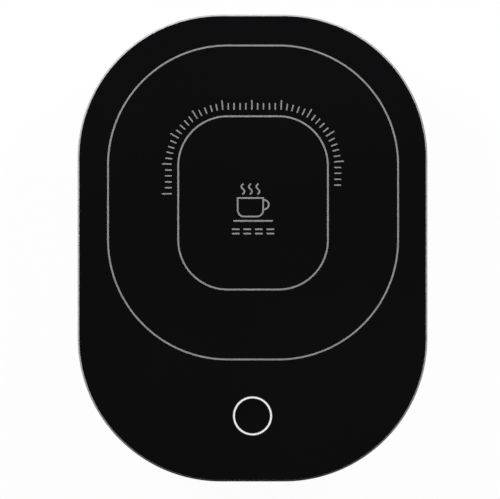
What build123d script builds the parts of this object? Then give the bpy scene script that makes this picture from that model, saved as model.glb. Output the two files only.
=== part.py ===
"""Warming pad for a mug: a rounded black glass deck on a moulded housing in two parts.

A film heater under an aluminium spreader warms the glass from below. A flush key near the
front edge, with a white light ring round it, switches the pad. Lengths are in millimetres.
+Z is up, +Y points to the back, where the power inlet is, and the origin is on the table
under the middle of the glass deck.
"""

import os
from math import cos, radians

from build123d import *

os.makedirs("parts", exist_ok=True)

# Clearances
nest_gap = 0.15  # between mouldings that nest
slide_gap = 0.1  # round the switch plunger
loose_gap = 0.3  # round pieces that are set in loosely
hole_gap = 0.2  # round a screw that passes through
thread_gap = 0.05  # round a screw in its boss
cut_over = 1.0  # cutting tools run this far past a face

# Heated zone of the glass
zone_width = 100.0
zone_length = 109.0
zone_corner = 41.4

# Glass deck round the zone
side_margin = 10.5
back_margin = 10.5
front_band = 42.0  # strip in front of the zone, for the key
corner_step = 8.2  # by which the corner of the deck is larger than the zone's
glass_thickness = 3.2
glass_chamfer = 0.65
glass_seam = 0.2  # along the lower edge
panel_width = zone_width + 2 * side_margin
panel_length = zone_length + back_margin + front_band
panel_corner = zone_corner + corner_step
zone_y = panel_length / 2 - back_margin - zone_length / 2

# Housing walls
housing_inset = 0.8  # the glass overhangs the housing by this
wall = 2.0
floor_thickness = 2.0
deck_thickness = 2.0
base_edge = 5.0  # rounding under the tray
frame_edge = 0.5  # chamfer along the top of the frame
frame_skirt = 3.9  # wall of the frame below its deck
reveal = 0.4  # open line between tray and frame
lip_thickness = 0.9
lip_height = 1.6

# Key, light ring and switch
key_margin = 22.7  # from the front edge of the glass
ring_diameter = 13.3
ring_band = 0.52
ring_web = 1.0
ring_flange = 1.2
ring_skirt_wall = 0.9
key_ledge = 0.9  # by which the collar stands out from the key
key_collar = 1.2
key_stem_diameter = 5.0
key_stem = 0.6
key_dish = 0.3
key_rim = 0.6  # flat rim round the dished top
key_travel = 0.5
key_wall = 1.4
gasket_margin = 0.5
gasket_width = 2.1
switch_size = 6.0
switch_body_height = 3.5
switch_height = 5.0
plunger_diameter = 3.4
plunger_depth = 0.8  # length of plunger inside the switch
cover_thickness = 0.3  # steel cover of the switch
stake_diameter = 0.9  # pins of the switch that hold its cover
stake_inset = 0.8
stake_proud = 0.2

# Levels, from the table up
foot_proud = 1.6
board_clearance = 5.3
board_thickness = 1.6
bond_thickness = 0.5
base_bottom = foot_proud
floor_top = base_bottom + floor_thickness
board_bottom = floor_top + board_clearance
board_top = board_bottom + board_thickness
plunger_top = board_top + switch_height
collar_bottom = plunger_top + key_stem
collar_top = collar_bottom + key_collar
deck_top = collar_top + ring_web
deck_bottom = deck_top - deck_thickness
frame_bottom = deck_bottom - frame_skirt
tray_top = frame_bottom - reveal
glass_bottom = deck_top + bond_thickness
glass_top = glass_bottom + glass_thickness

# Heater stack, from the deck down
heater_gap = 1.0  # between the stack and the deck opening
spreader_inset = 4.0  # from the edge of the heated zone
spreader_thickness = 1.2
film_inset = 2.0
film_thickness = 0.3
felt_thickness = 3.0
clamp_thickness = 0.8
clamp_inset = 2.0
clamp_hole = 12.0  # holes that lighten the plate
clamp_hole_pitch = 26.0
clamp_hole_count = 3
bead_length = 56.0  # pressed beads that stiffen the plate
bead_width = 5.0
bead_depth = 0.8
bead_shift = 32.0  # from the middle bead to the back one
curb_wall = 1.2  # wall of the frame round the stack
spreader_bottom = deck_top - spreader_thickness
film_bottom = spreader_bottom - film_thickness
felt_bottom = film_bottom - felt_thickness
clamp_bottom = felt_bottom - clamp_thickness
window_width = 24.0  # opening for the leads
window_length = 11.0
window_margin = 14.0  # from the front of the zone to the middle of the window
window_corner = 2.0
window_y = zone_y - zone_length / 2 + window_margin

# Screws
boss_gap = 0.4  # from the edge of the deck opening to a boss
housing_shank = 2.7
housing_head = 5.4
housing_head_height = 1.9
housing_grip = 5.5  # length of thread in the boss
housing_seat = 2.4  # plastic under the head
boss_diameter = 6.0
post_height = 7.5  # from the underside of the tray
post_wall = 1.5
clamp_pitch = 46.0
clamp_ear = 4.0
clamp_boss = 5.6
small_shank = 2.2
small_head = 4.2
small_head_height = 1.5
small_grip = 2.2
blind = 0.5  # pilot beyond the end of a screw
inlet_shank = 1.8
inlet_head = 3.4
inlet_head_height = 1.2
inlet_grip = 1.6
recess_share = 0.62  # cross recess as a share of the head
recess_width = 0.8
recess_depth = 0.8
gusset_thickness = 1.0  # ribs in a cross round each post
gusset_reach = 3.0
gusset_height = 3.0

# Control board
board_depth = 28.0
board_gap = 2.2  # to the posts of the front screws
board_edge = 1.2  # to the housing wall
board_corner = 2.0
board_screw_inset = 5.0  # from the sides and the front of the board
board_boss = 5.0
led_length = 1.6
led_width = 0.8
led_height = 0.8
led_gap = 0.4  # to the light ring
led_count = 4
led_start = 45
chip_length = 6.5
chip_width = 4.4
chip_height = 1.1
chip_x = 15.0
chip_mark = 0.8  # dimple that marks the first leg
chip_mark_inset = 1.0
chip_mark_depth = 0.15
chip_leg_pitch = 0.65
chip_leg_width = 0.25
chip_leg_sheet = 0.15
transistor_length = 6.6
transistor_width = 6.1
transistor_height = 2.3
transistor_leg_inset = 1.0
transistor_leg_width = 0.8
transistor_sheet = 0.5
transistor_tab_inset = 0.6
transistor_tab_reach = 1.1
switch_leg_inset = 0.75
switch_leg_width = 0.7
switch_leg_sheet = 0.2
leg_out = 0.6  # from the side of a case to the far side of the bend
leg_foot = 0.7  # length that lies on the board
capacitor_diameter = 6.3
capacitor_height = 4.4
capacitor_edge = 0.4
capacitor_base_rim = 0.15
capacitor_base_height = 0.8
capacitor_base_corner = 1.4
buzzer_diameter = 9.0
buzzer_height = 3.8
buzzer_hole = 1.4
buzzer_edge = 0.5
part_gap = 3.0  # from the light ring to the tall parts on the board

# Plugs and leads
plug_side = 0.25  # plastic beside the leads
plug_cover = 0.1  # plastic over and under the leads
plug_proud = 1.2
header_depth = 5.0
header_wall = 0.6
header_edge = 0.4
lead_diameter = 1.5
lead_pitch = 2.5
lead_bend = 4.0
lead_lift = 0.3  # leads lie this far above the floor
heater_plug_x = 5.0
sensor_plug_x = -5.0
power_plug_x = -14.0
lead_rib_gap = 0.5  # from the rib of the tray to the power leads
lead_straight = 5.0  # straight length of a lead out of its plug
lead_slope = 36.0  # length over which a lead comes down to the floor
fuse_length = 8.0
fuse_width = 4.2
fuse_height = 2.5  # of the fuse and of the sensor, which share one strap
fuse_shift = 1.2  # from its lead to the middle of the fuse
strap_thickness = 0.4
strap_width = 2.6
strap_shift = 2.5  # behind the leads
strap_ramp = 1.5
strap_end = 5.0  # under the clamp plate, beside the window
rivet_shank = 2.0
rivet_head = 3.4
rivet_head_height = 0.7
rivet_rounding = 0.4
sensor_length = 6.0
sensor_width = 4.6
sensor_edge = 0.6

# Power inlet
port_height = 6.6  # middle of the socket above the underside of the tray
port_width = 8.94
port_tall = 3.26
port_length = 7.4
port_skin = 0.3
port_back = 1.8
port_recess = 0.6
port_recess_margin = 1.1
tongue_width = 6.7
tongue_thickness = 0.7
tongue_short = 0.6  # tongue behind the mouth of the socket
tongue_edge = 0.2
inlet_board_width = 22.0
inlet_board_depth = 16.0
inlet_board_thickness = 1.2
inlet_board_gap = 0.5
inlet_screw_inset = 3.0
inlet_screw_y = 6.6  # from the back edge of the inlet board
inlet_post = 4.6
inlet_plug_x = -2.5
tab_width = 1.2  # tabs of the shell, through the inlet board
tab_rise = 0.4  # above the middle of the shell
tab_proud = 0.4
tab_back = 3.6  # from the mouth of the shell
tab_front = 6.6

# Feet and vents
foot_diameter = 13.0
foot_seat = 1.0
foot_edge = 0.6
foot_groove_diameter = 7.0
foot_groove = 1.2
foot_groove_depth = 0.5
foot_in_x = 18.5  # from the side edge of the glass
foot_in_y = 34.75  # from the front and back edges of the glass
vent_width = 2.4
vent_length = 40.0
vent_pitch = 7.0
vent_count = 7
rib_thickness = 1.2
rib_height = 2.0
rib_gap = 4.4  # to the ribs of the side posts
rib_length = 48.0
guide_length = 4.0  # short rib that keeps the leads beside the long one

# Bond of the glass
bond_inset = 2.4
bond_width = 5.0

# Places worked out from the sizes above
key_y = key_margin - panel_length / 2
ring_bore = ring_diameter - 2 * ring_band
key_diameter = ring_bore - 2 * nest_gap
key_collar_diameter = key_diameter + 2 * key_ledge
skirt_bore = key_collar_diameter + 2 * loose_gap
skirt_diameter = skirt_bore + 2 * ring_skirt_wall
skirt_bottom = board_top + led_height + led_gap
glass_hole = ring_diameter + 2 * nest_gap
ring_flange_diameter = glass_hole + 2 * gasket_width + 4 * gasket_margin
frame_inset = housing_inset + wall
spreader_width = zone_width - 2 * spreader_inset
spreader_length = zone_length - 2 * spreader_inset
spreader_corner = zone_corner - spreader_inset
boss_line = heater_gap + boss_gap + boss_diameter / 2
corner_reach = (spreader_corner + boss_line) * cos(radians(45))
screw_x = spreader_width / 2 - spreader_corner + corner_reach
screw_y = zone_y + spreader_length / 2 - spreader_corner + corner_reach
side_x = spreader_width / 2 + boss_line
post_top = base_bottom + post_height
post_diameter = housing_head + 2 * hole_gap + 2 * post_wall
head_seat = post_top - housing_seat
clamp_x = spreader_width / 2 + heater_gap + boss_gap + clamp_boss / 2
board_half = screw_x - post_diameter / 2 - board_gap
board_back = key_y + board_depth / 2
board_screw_x = board_half - board_screw_inset
board_screw_front = key_y - board_depth / 2 + board_screw_inset
board_screw_back = board_back - header_depth - nest_gap - small_head / 2
port_z = base_bottom + port_height
port_face = panel_length / 2 - housing_inset - port_recess
inlet_top = port_z - port_tall / 2
inlet_bottom = inlet_top - inlet_board_thickness
inlet_back = panel_length / 2 - frame_inset - inlet_board_gap
inlet_front = inlet_back - inlet_board_depth
foot_x = panel_width / 2 - foot_in_x
foot_y = panel_length / 2 - foot_in_y
plug_width = lead_pitch + lead_diameter + 2 * plug_side
plug_height = lead_diameter + 2 * plug_cover
header_room_width = plug_width + 2 * nest_gap
header_room_height = plug_height + 2 * nest_gap
header_room_depth = header_depth - header_wall
header_width = header_room_width + 2 * header_wall
header_height = header_room_height + 2 * header_wall
plug_z = board_bottom - header_height / 2
inlet_plug_z = inlet_top + header_height / 2
lead_z = floor_top + lead_lift + lead_diameter / 2
rib_x = side_x - post_diameter / 2 - gusset_reach - rib_gap - rib_thickness / 2
lead_run_x = rib_thickness / 2 + lead_rib_gap + lead_pitch / 2 + lead_diameter / 2 - rib_x
lead_run_front = board_back + lead_straight + lead_slope
lead_run_back = inlet_front - lead_straight - lead_slope
guide_x = lead_run_x + lead_pitch / 2 + lead_diameter / 2 + lead_rib_gap + rib_thickness / 2
inlet_screw_x = inlet_board_width / 2 - inlet_screw_inset
strap_y = window_y + strap_shift
strap_half = window_width / 2 + strap_end
strap_bend = window_width / 2 - loose_gap
strap_top = film_bottom - fuse_height
cover_bottom = board_top + switch_body_height - cover_thickness
stake_pitch = switch_size - 2 * stake_inset
chip_leg_count = round((chip_length - chip_leg_pitch) / chip_leg_pitch) + 1
chip_leg_span = (chip_leg_count - 1) * chip_leg_pitch
buzzer_x = -skirt_diameter / 2 - part_gap - buzzer_diameter / 2
capacitor_x = skirt_diameter / 2 + part_gap + capacitor_diameter / 2
capacitor_base_size = capacitor_diameter + 2 * capacitor_base_rim
can_bottom = board_top + capacitor_base_height
port_plane = Plane(origin=(0, port_face, port_z), x_dir=(1, 0, 0), z_dir=(0, 1, 0))
key_plane = Plane(origin=(0, key_y, 0), x_dir=(1, 0, 0), z_dir=(0, -1, 0))
strap_plane = Plane(origin=(0, strap_y, 0), x_dir=(1, 0, 0), z_dir=(0, -1, 0))
key_axis = Axis((0, key_y, 0), (0, 0, 1))

housing_places = [(x, y) for x in (-screw_x, screw_x) for y in (-screw_y, screw_y)]
housing_places += [(-side_x, zone_y), (side_x, zone_y)]
clamp_places = [(x, zone_y + y) for x in (-clamp_x, clamp_x) for y in (-clamp_pitch / 2, clamp_pitch / 2)]
board_places = [
    (x, y) for x in (-board_screw_x, board_screw_x) for y in (board_screw_front, board_screw_back)
]
inlet_places = [(-inlet_screw_x, inlet_back - inlet_screw_y), (inlet_screw_x, inlet_back - inlet_screw_y)]
foot_places = [(x, y) for x in (-foot_x, foot_x) for y in (-foot_y, foot_y)]
bead_places = [(0, zone_y), (0, zone_y + bead_shift)]
rivet_places = [(strap_end / 2 - strap_half, strap_y), (strap_half - strap_end / 2, strap_y)]
tab_places = [
    (x, port_face - y) for x in (-port_width / 2, port_width / 2) for y in (tab_back, tab_front)
]


def panel_outline(inset, mode=Mode.ADD):
    """Outline of the glass deck, drawn in all round by inset, for the open sketch."""
    RectangleRounded(panel_width - 2 * inset, panel_length - 2 * inset, panel_corner - inset, mode=mode)


def stack_outline(inset):
    """Outline of the heat spreader, drawn in all round by inset, for the open sketch."""
    with Locations((0, zone_y)):
        RectangleRounded(spreader_width - 2 * inset, spreader_length - 2 * inset, spreader_corner - inset)


def lead_window():
    """Opening through the felt and the clamp plate for the leads, cut from the open sketch."""
    with Locations((0, window_y)):
        RectangleRounded(window_width, window_length, window_corner, mode=Mode.SUBTRACT)


def pan_screws(places, seat, way, head, head_height, shank, length):
    """Screws in the open part: heads on the level seat, shanks upward (way 1) or downward (way -1)."""
    with BuildSketch(Plane.XY.offset(seat)) as heads:
        with Locations(*places):
            Circle(head / 2)
    with BuildSketch(Plane.XY.offset(seat)) as shanks:
        with Locations(*places):
            Circle(shank / 2)
    with BuildSketch(Plane.XY.offset(seat - way * head_height)) as recesses:
        with Locations(*places):
            Rectangle(recess_share * head, recess_width)
            Rectangle(recess_width, recess_share * head)
    extrude(heads.sketch, amount=-way * head_height)
    extrude(shanks.sketch, amount=way * length)
    extrude(recesses.sketch, amount=way * recess_depth, mode=Mode.SUBTRACT)


def bent_legs(sides, rows, board_face, up, rise, width, sheet):
    """Legs in the open part, from each side (x, way) of a case out, to the board and along it."""
    for x, way in sides:
        for y in rows:
            leg_plane = Plane(origin=(x, y, board_face), x_dir=(way, 0, 0), z_dir=(0, -way * up, 0))
            with BuildSketch(leg_plane) as bend:
                with BuildLine():
                    Polyline(
                        (0, rise),
                        (leg_out, rise),
                        (leg_out, sheet),
                        (leg_out + leg_foot, sheet),
                        (leg_out + leg_foot, 0),
                        (leg_out - sheet, 0),
                        (leg_out - sheet, rise - sheet),
                        (0, rise - sheet),
                        close=True,
                    )
                make_face()
            extrude(bend.sketch, amount=width / 2, both=True)


def header_shell(x, mouth, way, bottom):
    """Header in the open part: a box on the level bottom, open at y = mouth to the back or the front."""
    with BuildSketch(Plane.XY.offset(bottom)) as foot:
        with Locations((x, mouth - way * header_depth / 2)):
            RectangleRounded(header_width, header_depth, header_edge)
    extrude(foot.sketch, amount=header_height)
    mouth_plane = Plane(origin=(x, mouth, bottom + header_height / 2), x_dir=(1, 0, 0), z_dir=(0, way, 0))
    with BuildSketch(mouth_plane) as room:
        Rectangle(header_room_width, header_room_height)
    extrude(room.sketch, amount=-header_room_depth, mode=Mode.SUBTRACT)


def lead_plug(x, mouth, way, middle):
    """Plug in the open part, pushed into the header whose mouth is at y = mouth, to the back or front."""
    end_y = mouth + way * plug_proud
    with BuildSketch(Plane(origin=(x, end_y, middle), x_dir=(1, 0, 0), z_dir=(0, way, 0))) as end:
        Rectangle(plug_width, plug_height)
    extrude(end.sketch, amount=nest_gap - plug_proud - header_room_depth)


def lead_pair(routes):
    """Round leads in the open part, each along straight runs that tangent arcs join."""
    for points in routes:
        with BuildLine() as path:
            FilletPolyline(*points, radius=lead_bend)
        with BuildSketch(Plane(origin=path.line @ 0, z_dir=path.line % 0)) as section:
            Circle(lead_diameter / 2)
        sweep(section.sketch, path=path.line)


# Glass deck: flat sheet with a ground edge and a hole for the light ring
with BuildPart() as glass_panel:
    with BuildSketch(Plane.XY.offset(glass_bottom)):
        panel_outline(0)
        with Locations((0, key_y)):
            Circle(glass_hole / 2, mode=Mode.SUBTRACT)
    extrude(amount=glass_thickness)
    chamfer(glass_panel.faces().sort_by(Axis.Z)[-1].outer_wire().edges(), glass_chamfer)
    chamfer(glass_panel.faces().sort_by(Axis.Z)[0].outer_wire().edges(), glass_seam)
glass_panel.part.label = "glass_panel"
export_step(glass_panel.part, "parts/glass_panel.step")

# Soft bead between the glass and the frame
with BuildPart() as glass_bond:
    with BuildSketch(Plane.XY.offset(deck_top)):
        panel_outline(bond_inset)
        panel_outline(bond_inset + bond_width, mode=Mode.SUBTRACT)
    extrude(amount=bond_thickness)
glass_bond.part.label = "glass_bond"
export_step(glass_bond.part, "parts/glass_bond.step")

# Upper moulding: deck with the curbed heater opening and the key seat, skirt and screw bosses
with BuildPart() as top_frame:
    with BuildSketch(Plane.XY.offset(frame_bottom)):
        panel_outline(housing_inset)
    extrude(amount=deck_top - frame_bottom)
    chamfer(top_frame.faces().sort_by(Axis.Z)[-1].outer_wire().edges(), frame_edge)
    with BuildSketch(Plane.XY.offset(frame_bottom)):
        panel_outline(frame_inset)
    extrude(amount=frame_skirt, mode=Mode.SUBTRACT)
    with BuildSketch(Plane.XY.offset(frame_bottom)):
        panel_outline(frame_inset - lip_thickness - nest_gap)
    extrude(amount=lip_height - reveal + nest_gap, mode=Mode.SUBTRACT)
    with BuildSketch(Plane.XY.offset(post_top)):
        with Locations(*housing_places):
            Circle(boss_diameter / 2)
    extrude(amount=deck_bottom - post_top)
    with BuildSketch(Plane.XY.offset(felt_bottom)):
        with Locations(*clamp_places):
            Circle(clamp_boss / 2)
    extrude(amount=deck_bottom - felt_bottom)
    with BuildSketch(Plane.XY.offset(board_top)):
        with Locations(*board_places):
            Circle(board_boss / 2)
    extrude(amount=deck_bottom - board_top)
    with BuildSketch(Plane.XY.offset(felt_bottom + nest_gap)):
        stack_outline(-heater_gap - curb_wall)
    extrude(amount=deck_bottom - felt_bottom - nest_gap)
    with BuildSketch(Plane.XY.offset(felt_bottom)):
        stack_outline(-heater_gap)
    extrude(amount=deck_top - felt_bottom, mode=Mode.SUBTRACT)
    with Locations((0, key_y, deck_top)):
        CounterBoreHole(skirt_diameter / 2 + loose_gap, ring_flange_diameter / 2 + nest_gap, ring_flange)
    with BuildSketch(Plane.XY.offset(post_top)):
        with Locations(*housing_places):
            Circle(housing_shank / 2 + thread_gap)
    extrude(amount=housing_grip + blind, mode=Mode.SUBTRACT)
    with BuildSketch(Plane.XY.offset(felt_bottom)):
        with Locations(*clamp_places):
            Circle(small_shank / 2 + thread_gap)
    extrude(amount=small_grip + blind, mode=Mode.SUBTRACT)
    with BuildSketch(Plane.XY.offset(board_top)):
        with Locations(*board_places):
            Circle(small_shank / 2 + thread_gap)
    extrude(amount=small_grip + blind, mode=Mode.SUBTRACT)
top_frame.part.label = "top_frame"
export_step(top_frame.part, "parts/top_frame.step")

# Room inside the tray, which is cut out of it below
with BuildPart() as tray_room:
    with BuildSketch(Plane.XY.offset(floor_top)):
        panel_outline(frame_inset)
    extrude(amount=tray_top - floor_top + cut_over)
    fillet(tray_room.faces().sort_by(Axis.Z)[0].edges(), base_edge - wall)

# Lower moulding: rounded tray with floor vents, screw posts, foot seats and the inlet opening
with BuildPart() as base_tray:
    with BuildSketch(Plane.XY.offset(base_bottom)):
        panel_outline(housing_inset)
    extrude(amount=tray_top - base_bottom)
    fillet(base_tray.faces().sort_by(Axis.Z)[0].edges(), base_edge)
    add(tray_room.part, mode=Mode.SUBTRACT)
    with BuildSketch(Plane.XY.offset(tray_top)):
        panel_outline(frame_inset - lip_thickness)
        panel_outline(frame_inset, mode=Mode.SUBTRACT)
    extrude(amount=lip_height)
    with BuildSketch(Plane.XY.offset(floor_top - floor_thickness / 2)):
        with Locations(*housing_places):
            Circle(post_diameter / 2)
    extrude(amount=post_top - floor_top + floor_thickness / 2)
    with BuildSketch(Plane.XY.offset(floor_top)):
        with Locations(*housing_places):
            Rectangle(post_diameter + 2 * gusset_reach, gusset_thickness)
            Rectangle(gusset_thickness, post_diameter + 2 * gusset_reach)
    extrude(amount=gusset_height)
    with BuildSketch(Plane.XY.offset(floor_top)):
        with Locations(*inlet_places):
            Circle(inlet_post / 2)
    extrude(amount=inlet_bottom - floor_top)
    with BuildSketch(Plane.XY.offset(floor_top)):
        with Locations((-rib_x, zone_y), (rib_x, zone_y)):
            Rectangle(rib_thickness, rib_length)
        with Locations((guide_x, (lead_run_front + lead_run_back) / 2)):
            Rectangle(rib_thickness, guide_length)
    extrude(amount=rib_height)
    with BuildSketch(Plane.XY.offset(base_bottom)):
        with Locations(*housing_places):
            Circle(housing_head / 2 + hole_gap)
    extrude(amount=head_seat - base_bottom, mode=Mode.SUBTRACT)
    with BuildSketch(Plane.XY.offset(head_seat)):
        with Locations(*housing_places):
            Circle(housing_shank / 2 + hole_gap)
    extrude(amount=housing_seat, mode=Mode.SUBTRACT)
    with BuildSketch(Plane.XY.offset(inlet_bottom)):
        with Locations(*inlet_places):
            Circle(inlet_shank / 2 + thread_gap)
    extrude(amount=-inlet_grip - blind, mode=Mode.SUBTRACT)
    with BuildSketch(Plane.XY.offset(base_bottom)):
        with Locations(*foot_places):
            Circle(foot_diameter / 2 + nest_gap)
    extrude(amount=foot_seat, mode=Mode.SUBTRACT)
    with BuildSketch(Plane.XY.offset(base_bottom)):
        with Locations((0, zone_y)):
            with GridLocations(0, vent_pitch, 1, vent_count):
                SlotOverall(vent_length, vent_width)
    extrude(amount=floor_thickness, mode=Mode.SUBTRACT)
    with BuildSketch(port_plane):
        SlotOverall(port_width + 2 * nest_gap, port_tall + 2 * nest_gap)
    extrude(amount=-wall - cut_over, mode=Mode.SUBTRACT)
    with BuildSketch(port_plane):
        SlotOverall(port_width + 2 * port_recess_margin, port_tall + 2 * port_recess_margin)
    extrude(amount=port_recess + cut_over, mode=Mode.SUBTRACT)
base_tray.part.label = "base_tray"
export_step(base_tray.part, "parts/base_tray.step")

# Rubber feet, set into the seats of the tray, with a ring groove for grip
with BuildPart() as rubber_feet:
    with BuildSketch():
        with Locations(*foot_places):
            Circle(foot_diameter / 2)
    extrude(amount=base_bottom + foot_seat)
    chamfer(rubber_feet.edges().group_by(Axis.Z)[0], foot_edge)
    with BuildSketch() as grooves:
        with Locations(*foot_places):
            Circle(foot_groove_diameter / 2)
        with Locations(*foot_places):
            Circle(foot_groove_diameter / 2 - foot_groove, mode=Mode.SUBTRACT)
    extrude(grooves.sketch, amount=foot_groove_depth, mode=Mode.SUBTRACT)
rubber_feet.part.label = "rubber_feet"
export_step(rubber_feet.part, "parts/rubber_feet.step")

# Screws that pull the tray and the frame together
with BuildPart() as housing_screws:
    pan_screws(
        housing_places,
        head_seat,
        1,
        housing_head,
        housing_head_height,
        housing_shank,
        housing_seat + housing_grip,
    )
housing_screws.part.label = "housing_screws"
export_step(housing_screws.part, "parts/housing_screws.step")

# Flush key: dished top, captive collar and a stem that stands on the switch
with BuildPart() as power_key:
    with BuildSketch(key_plane):
        with BuildLine():
            dish = TangentArc(
                (0, glass_top - key_dish), (key_diameter / 2 - key_rim, glass_top), tangent=(1, 0)
            )
            Polyline(
                dish @ 1,
                (key_diameter / 2, glass_top),
                (key_diameter / 2, collar_top),
                (key_collar_diameter / 2, collar_top),
                (key_collar_diameter / 2, collar_bottom),
                (key_diameter / 2 - key_wall, collar_bottom),
                (key_diameter / 2 - key_wall, glass_top - key_dish - key_wall),
                (key_stem_diameter / 2, glass_top - key_dish - key_wall),
                (key_stem_diameter / 2, plunger_top),
                (0, plunger_top),
                dish @ 0,
            )
        make_face()
    revolve(axis=key_axis)
power_key.part.label = "power_key"
export_step(power_key.part, "parts/power_key.step")

# Light guide: white band at the top, flange in the deck, skirt down to the lamps
with BuildPart() as key_light_ring:
    with BuildSketch(key_plane):
        with BuildLine():
            Polyline(
                (ring_bore / 2, glass_top),
                (ring_diameter / 2, glass_top),
                (ring_diameter / 2, deck_top),
                (ring_flange_diameter / 2, deck_top),
                (ring_flange_diameter / 2, deck_top - ring_flange),
                (skirt_diameter / 2, deck_top - ring_flange),
                (skirt_diameter / 2, skirt_bottom),
                (skirt_bore / 2, skirt_bottom),
                (skirt_bore / 2, collar_top),
                (ring_bore / 2, collar_top),
                close=True,
            )
        make_face()
    revolve(axis=key_axis)
key_light_ring.part.label = "key_light_ring"
export_step(key_light_ring.part, "parts/key_light_ring.step")

# Seal between the flange of the light guide and the glass
with BuildPart() as light_ring_gasket:
    with BuildSketch(Plane.XY.offset(deck_top)):
        with Locations((0, key_y)):
            Circle(ring_flange_diameter / 2 - gasket_margin)
            Circle(glass_hole / 2 + gasket_margin, mode=Mode.SUBTRACT)
    extrude(amount=bond_thickness)
light_ring_gasket.part.label = "light_ring_gasket"
export_step(light_ring_gasket.part, "parts/light_ring_gasket.step")

# Push switch on the control board, with four pins that hold its cover
with BuildPart() as switch_body:
    with BuildSketch(Plane.XY.offset(board_top)):
        with Locations((0, key_y)):
            Rectangle(switch_size, switch_size)
    extrude(amount=cover_bottom - board_top)
    with BuildSketch(Plane.XY.offset(cover_bottom)):
        with Locations((0, key_y)):
            with GridLocations(stake_pitch, stake_pitch, 2, 2):
                Circle(stake_diameter / 2)
    extrude(amount=cover_thickness + stake_proud)
    with BuildSketch(Plane.XY.offset(board_top + switch_body_height)):
        with Locations((0, key_y)):
            Circle(plunger_diameter / 2 + slide_gap)
    extrude(amount=-plunger_depth - key_travel - slide_gap, mode=Mode.SUBTRACT)
switch_body.part.label = "switch_body"
export_step(switch_body.part, "parts/switch_body.step")

# Steel cover of the switch
with BuildPart() as switch_cover:
    with BuildSketch(Plane.XY.offset(cover_bottom)):
        with Locations((0, key_y)):
            Rectangle(switch_size, switch_size)
            Circle(plunger_diameter / 2 + slide_gap, mode=Mode.SUBTRACT)
            with GridLocations(stake_pitch, stake_pitch, 2, 2):
                Circle(stake_diameter / 2 + thread_gap, mode=Mode.SUBTRACT)
    extrude(amount=cover_thickness)
switch_cover.part.label = "switch_cover"
export_step(switch_cover.part, "parts/switch_cover.step")

# Legs of the switch
with BuildPart() as switch_legs:
    bent_legs(
        [(-switch_size / 2, -1), (switch_size / 2, 1)],
        [key_y + side * (switch_size / 2 - switch_leg_inset) for side in (-1, 1)],
        board_top,
        1,
        switch_body_height / 2,
        switch_leg_width,
        switch_leg_sheet,
    )
switch_legs.part.label = "switch_legs"
export_step(switch_legs.part, "parts/switch_legs.step")

# Plunger of the switch
with BuildPart() as switch_plunger:
    with BuildSketch(Plane.XY.offset(board_top + switch_body_height - plunger_depth)):
        with Locations((0, key_y)):
            Circle(plunger_diameter / 2)
    extrude(amount=plunger_top - board_top - switch_body_height + plunger_depth)
switch_plunger.part.label = "switch_plunger"
export_step(switch_plunger.part, "parts/switch_plunger.step")

# Lamps under the skirt of the light guide
with BuildPart() as ring_leds:
    with BuildSketch(Plane.XY.offset(board_top)):
        with Locations((0, key_y)):
            with PolarLocations((skirt_bore + skirt_diameter) / 4, led_count, led_start):
                Rectangle(led_width, led_length)
    extrude(amount=led_height)
ring_leds.part.label = "ring_leds"
export_step(ring_leds.part, "parts/ring_leds.step")

# Soft sheet that carries heat from the spreader to the glass
with BuildPart() as thermal_pad:
    with BuildSketch(Plane.XY.offset(deck_top)):
        stack_outline(film_inset)
    extrude(amount=bond_thickness)
thermal_pad.part.label = "thermal_pad"
export_step(thermal_pad.part, "parts/thermal_pad.step")

# Aluminium plate that evens out the heat
with BuildPart() as heat_spreader:
    with BuildSketch(Plane.XY.offset(spreader_bottom)):
        stack_outline(0)
    extrude(amount=spreader_thickness)
heat_spreader.part.label = "heat_spreader"
export_step(heat_spreader.part, "parts/heat_spreader.step")

# Film heater under the spreader
with BuildPart() as film_heater:
    with BuildSketch(Plane.XY.offset(film_bottom)):
        stack_outline(film_inset)
    extrude(amount=film_thickness)
film_heater.part.label = "film_heater"
export_step(film_heater.part, "parts/film_heater.step")

# Felt that keeps the heat out of the tray
with BuildPart() as insulation_pad:
    with BuildSketch(Plane.XY.offset(felt_bottom)):
        stack_outline(0)
        lead_window()
    extrude(amount=felt_thickness)
insulation_pad.part.label = "insulation_pad"
export_step(insulation_pad.part, "parts/insulation_pad.step")

# Steel plate with four ears and two pressed beads that holds the heater stack against the glass
with BuildPart() as clamp_plate:
    with BuildSketch(Plane.XY.offset(clamp_bottom)):
        stack_outline(clamp_inset)
        with Locations((0, zone_y)):
            with GridLocations(0, clamp_pitch, 1, 2):
                Rectangle(2 * clamp_x, 2 * clamp_ear)
        with Locations(*clamp_places):
            Circle(clamp_ear)
            Circle(small_shank / 2 + hole_gap, mode=Mode.SUBTRACT)
        with Locations((0, zone_y)):
            with GridLocations(clamp_hole_pitch, clamp_hole_pitch, clamp_hole_count, 2):
                Circle(clamp_hole / 2, mode=Mode.SUBTRACT)
        with Locations(*rivet_places):
            Circle(rivet_shank / 2 + thread_gap, mode=Mode.SUBTRACT)
        lead_window()
    extrude(amount=clamp_thickness)
    with BuildSketch(Plane.XY.offset(clamp_bottom)) as ridges:
        with Locations(*bead_places):
            SlotOverall(bead_length, bead_width)
    extrude(ridges.sketch, amount=-bead_depth)
    with BuildSketch(Plane.XY.offset(felt_bottom)) as hollows:
        with Locations(*bead_places):
            SlotOverall(bead_length - 2 * clamp_thickness, bead_width - 2 * clamp_thickness)
    extrude(hollows.sketch, amount=-bead_depth, mode=Mode.SUBTRACT)
clamp_plate.part.label = "clamp_plate"
export_step(clamp_plate.part, "parts/clamp_plate.step")

# Screws of the clamp plate
with BuildPart() as clamp_screws:
    pan_screws(
        clamp_places,
        clamp_bottom,
        1,
        small_head,
        small_head_height,
        small_shank,
        clamp_thickness + small_grip,
    )
clamp_screws.part.label = "clamp_screws"
export_step(clamp_screws.part, "parts/clamp_screws.step")

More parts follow.
